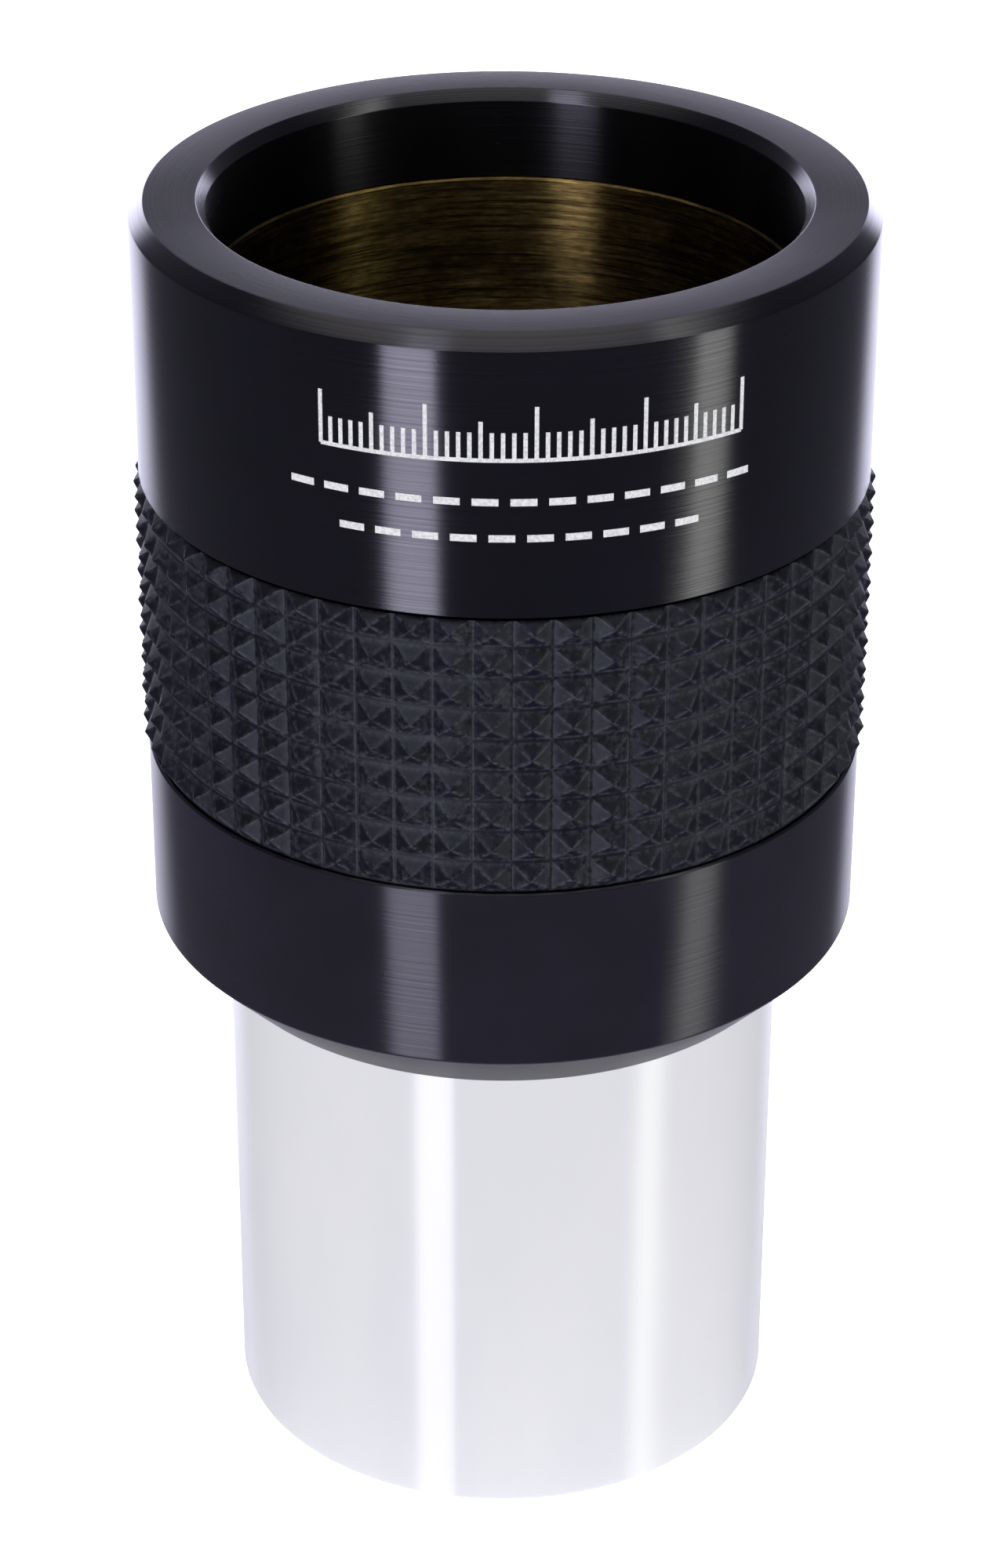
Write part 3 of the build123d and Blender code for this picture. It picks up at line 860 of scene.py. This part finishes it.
def ink_stroke(verts, faces, path, width):
    """Adds a thin raised band of ink along a path of (across, height) points."""
    dense = []
    for a, b in zip(path, path[1:]):
        start = Vector(a)
        end = Vector(b)
        count = max(1, math.ceil((end - start).length / INK_STEP))
        dense += [start.lerp(end, i / count) for i in range(count)]
    dense.append(Vector(path[-1]))
    first = len(verts)
    for i, here in enumerate(dense):
        before = dense[max(i - 1, 0)]
        after = dense[min(i + 1, len(dense) - 1)]
        run = (after - before).normalized()
        side = Vector((-run.y, run.x)) * width / 2
        for r in (INK_R, BODY_R - INK_HEIGHT):
            verts += [ink_point(*(here + side), r), ink_point(*(here - side), r)]
    for i in range(len(dense) - 1):
        a = first + INK_CORNERS * i
        b = a + INK_CORNERS
        faces += [
            (a, a + 1, b + 1, b),
            (a + 2, b + 2, b + 3, a + 3),
            (a, b, b + 2, a + 2),
            (a + 1, a + 3, b + 3, b + 1),
        ]
    last = first + INK_CORNERS * (len(dense) - 1)
    faces += [(first, first + 2, first + 3, first + 1), (last, last + 1, last + 3, last + 2)]


def tick_height(number):
    """How tall a tick is: the first of each group is long, and its middle one is half long."""
    if number % SCALE_TICKS_A_GROUP == 0:
        return LONG_TICK
    return MIDDLE_TICK if number % SCALE_TICKS_A_HALF == 0 else SHORT_TICK


def printed_marks():
    """A plain graduated scale, with two rows of dashes below it."""
    verts = []
    faces = []
    for number in range(SCALE_TICKS + 1):
        across = SCALE_START + number * SCALE_PITCH
        top = SCALE_HEIGHT + tick_height(number)
        ink_stroke(verts, faces, [(across, SCALE_HEIGHT), (across, top)], SCALE_TICK_WIDTH)
    scale_end = SCALE_START + SCALE_TICKS * SCALE_PITCH
    ink_stroke(verts, faces, [(SCALE_START, SCALE_HEIGHT), (scale_end, SCALE_HEIGHT)], SCALE_TICK_WIDTH)
    for start, height, count in DASH_ROWS:
        for number in range(count):
            left = start + number * DASH_PITCH
            ink_stroke(verts, faces, [(left, height), (left + DASH_LENGTH, height)], DASH_WIDTH)
    return new_object("printed_marks", verts, faces, "body")


finish(printed_marks(), INK, None)


# ---------------------------------------------------------------- studio

FLOOR_SIZE = 12.0
FLOOR_DROP = 0.00002
FLOOR_GLOW = 1.95
LIGHT_DISTANCE = 0.6
STRIP_LOW = -0.6
STRIP_HIGH = 0.9
BACKDROP_COLOUR = (0.82, 0.81, 1.0, 1.0)
BACKDROP_STRENGTH = 2.1
BACKDROP_EDGE = (0.76, 0.88)
BACKDROP_TURN = 0.04
OVERHEAD_COLOUR = (1.0, 0.96, 0.84, 1.0)
OVERHEAD_STRENGTH = 1.5
OVERHEAD_EDGE = (0.73, 0.83)

# Each strip light's name, azimuth and width in degrees, radiance and colour.
STRIPS = (
    ("left_strip", -28.2, 15.6, 7.2, (0.94, 0.92, 1.0)),
    ("right_strip", 63.8, 11.5, 4.6, (0.97, 1.0, 0.82)),
)

# How the backdrop changes with height or across: two strengths, then the two places they belong to.
LOW_FADE = (0.4, 1.0, -0.58, -0.38)
HORIZON_GLOW = (0.0, 1.4, -0.25, -0.02)
HIGH_FADE = (0.0, 1.6, 0.05, 0.3)
DIM_ACROSS = (0.0, 0.88, 0.87, 0.96)
DIM_ABOVE = (0.0, 1.0, 0.14, 0.28)
SIDES = (0.12, 0.16, -1.0, BACKDROP_EDGE[0])


def strip_light(name, azimuth, spread, radiance, colour):
    """A tall upright panel that faces the object and shows only in its reflections.

    Azimuth 0 is towards the camera, and grows towards +X.
    """
    turn = math.radians(azimuth)
    away = Vector((math.sin(turn), -math.cos(turn), 0))
    light = bpy.data.lights.new(name, "AREA")
    light.shape = "RECTANGLE"
    light.size = 2 * LIGHT_DISTANCE * math.tan(math.radians(spread / 2))
    light.size_y = STRIP_HIGH - STRIP_LOW
    light.energy = radiance * math.pi * light.size * light.size_y
    light.color = colour
    obj = bpy.data.objects.new(name, light)
    obj.location = away * LIGHT_DISTANCE + Vector((0, 0, (STRIP_LOW + STRIP_HIGH) / 2))
    obj.rotation_euler = away.to_track_quat("Z", "Y").to_euler()
    obj.visible_diffuse = False
    bpy.context.scene.collection.objects.link(obj)


def floor():
    """A plain white glowing floor. It gives the even light on matt surfaces, and isn't mirrored."""
    bpy.ops.mesh.primitive_plane_add(size=FLOOR_SIZE, location=(0, 0, -FLOOR_DROP))
    plane = bpy.context.object
    plane.name = "studio_floor"
    look = Look("studio_floor")
    grain = look.noise(look.place, 30.0, 2.0)
    look.set(
        Base_Color=look.colours(grain, (0.93, 0.93, 0.93), (0.95, 0.95, 0.95)),
        Roughness=1.0,
        Emission_Color=(1.0, 1.0, 1.0, 1.0),
        Emission_Strength=FLOOR_GLOW,
    )
    plane.data.materials.append(look.material)
    plane.visible_glossy = False
    plane.visible_shadow = False


def surroundings():
    """A white backdrop behind, dim sides and front, and a warm soft light overhead, for reflections."""
    world = bpy.data.worlds.new("studio")
    world.use_nodes = True
    world.cycles_visibility.diffuse = False
    bpy.context.scene.world = world
    sky = Nodes(world.node_tree, "Generated")
    x, y, z = sky.split()
    level = sky.math("SQRT", sky.math("ADD", sky.math("MULTIPLY", x, x), sky.math("MULTIPLY", y, y)))
    back = sky.math("DIVIDE", sky.math("SUBTRACT", y, sky.math("MULTIPLY", x, BACKDROP_TURN)), level)
    backdrop = sky.ramp(back, 0.0, BACKDROP_STRENGTH, *BACKDROP_EDGE, shape="SMOOTHSTEP")
    rise = sky.math("ADD", sky.ramp(z, *LOW_FADE), sky.ramp(z, *HORIZON_GLOW))
    backdrop = sky.math("MULTIPLY", backdrop, sky.math("SUBTRACT", rise, sky.ramp(z, *HIGH_FADE)))
    dim_middle = sky.math("MULTIPLY", sky.ramp(back, *DIM_ACROSS), sky.ramp(z, *DIM_ABOVE))
    backdrop = sky.math("MULTIPLY", backdrop, sky.math("SUBTRACT", 1.0, dim_middle))
    sides = sky.ramp(back, *SIDES)
    overhead = sky.ramp(z, 0.0, OVERHEAD_STRENGTH, *OVERHEAD_EDGE, shape="SMOOTHSTEP")
    white = sky.tree.nodes["Background"]
    white.inputs["Color"].default_value = BACKDROP_COLOUR
    sky.join(sky.math("ADD", backdrop, sides), white.inputs["Strength"])
    warm = sky.add("ShaderNodeBackground")
    warm.inputs["Color"].default_value = OVERHEAD_COLOUR
    sky.join(overhead, warm.inputs["Strength"])
    both = sky.add("ShaderNodeAddShader")
    sky.join(white.outputs[0], both.inputs[0])
    sky.join(warm.outputs[0], both.inputs[1])
    sky.join(both.outputs[0], sky.tree.nodes["World Output"].inputs["Surface"])


def camera():
    """The camera, in front of the object and looking down at it."""
    data = bpy.data.cameras.new("camera")
    data.lens = CAMERA_LENS
    data.sensor_width = SENSOR_WIDTH
    data.clip_start = CAMERA_CLIP_START
    obj = bpy.data.objects.new("camera", data)
    obj.location = CAMERA_PLACE
    tilt = Matrix.Rotation(math.radians(90 - CAMERA_PITCH_DOWN), 3, "X")
    roll = Matrix.Rotation(math.radians(CAMERA_ROLL), 3, "Z")
    obj.rotation_euler = (tilt @ roll).to_euler()
    bpy.context.scene.collection.objects.link(obj)
    bpy.context.scene.camera = obj


camera()
surroundings()
floor()
for strip in STRIPS:
    strip_light(*strip)
bpy.context.scene.view_settings.view_transform = "Standard"
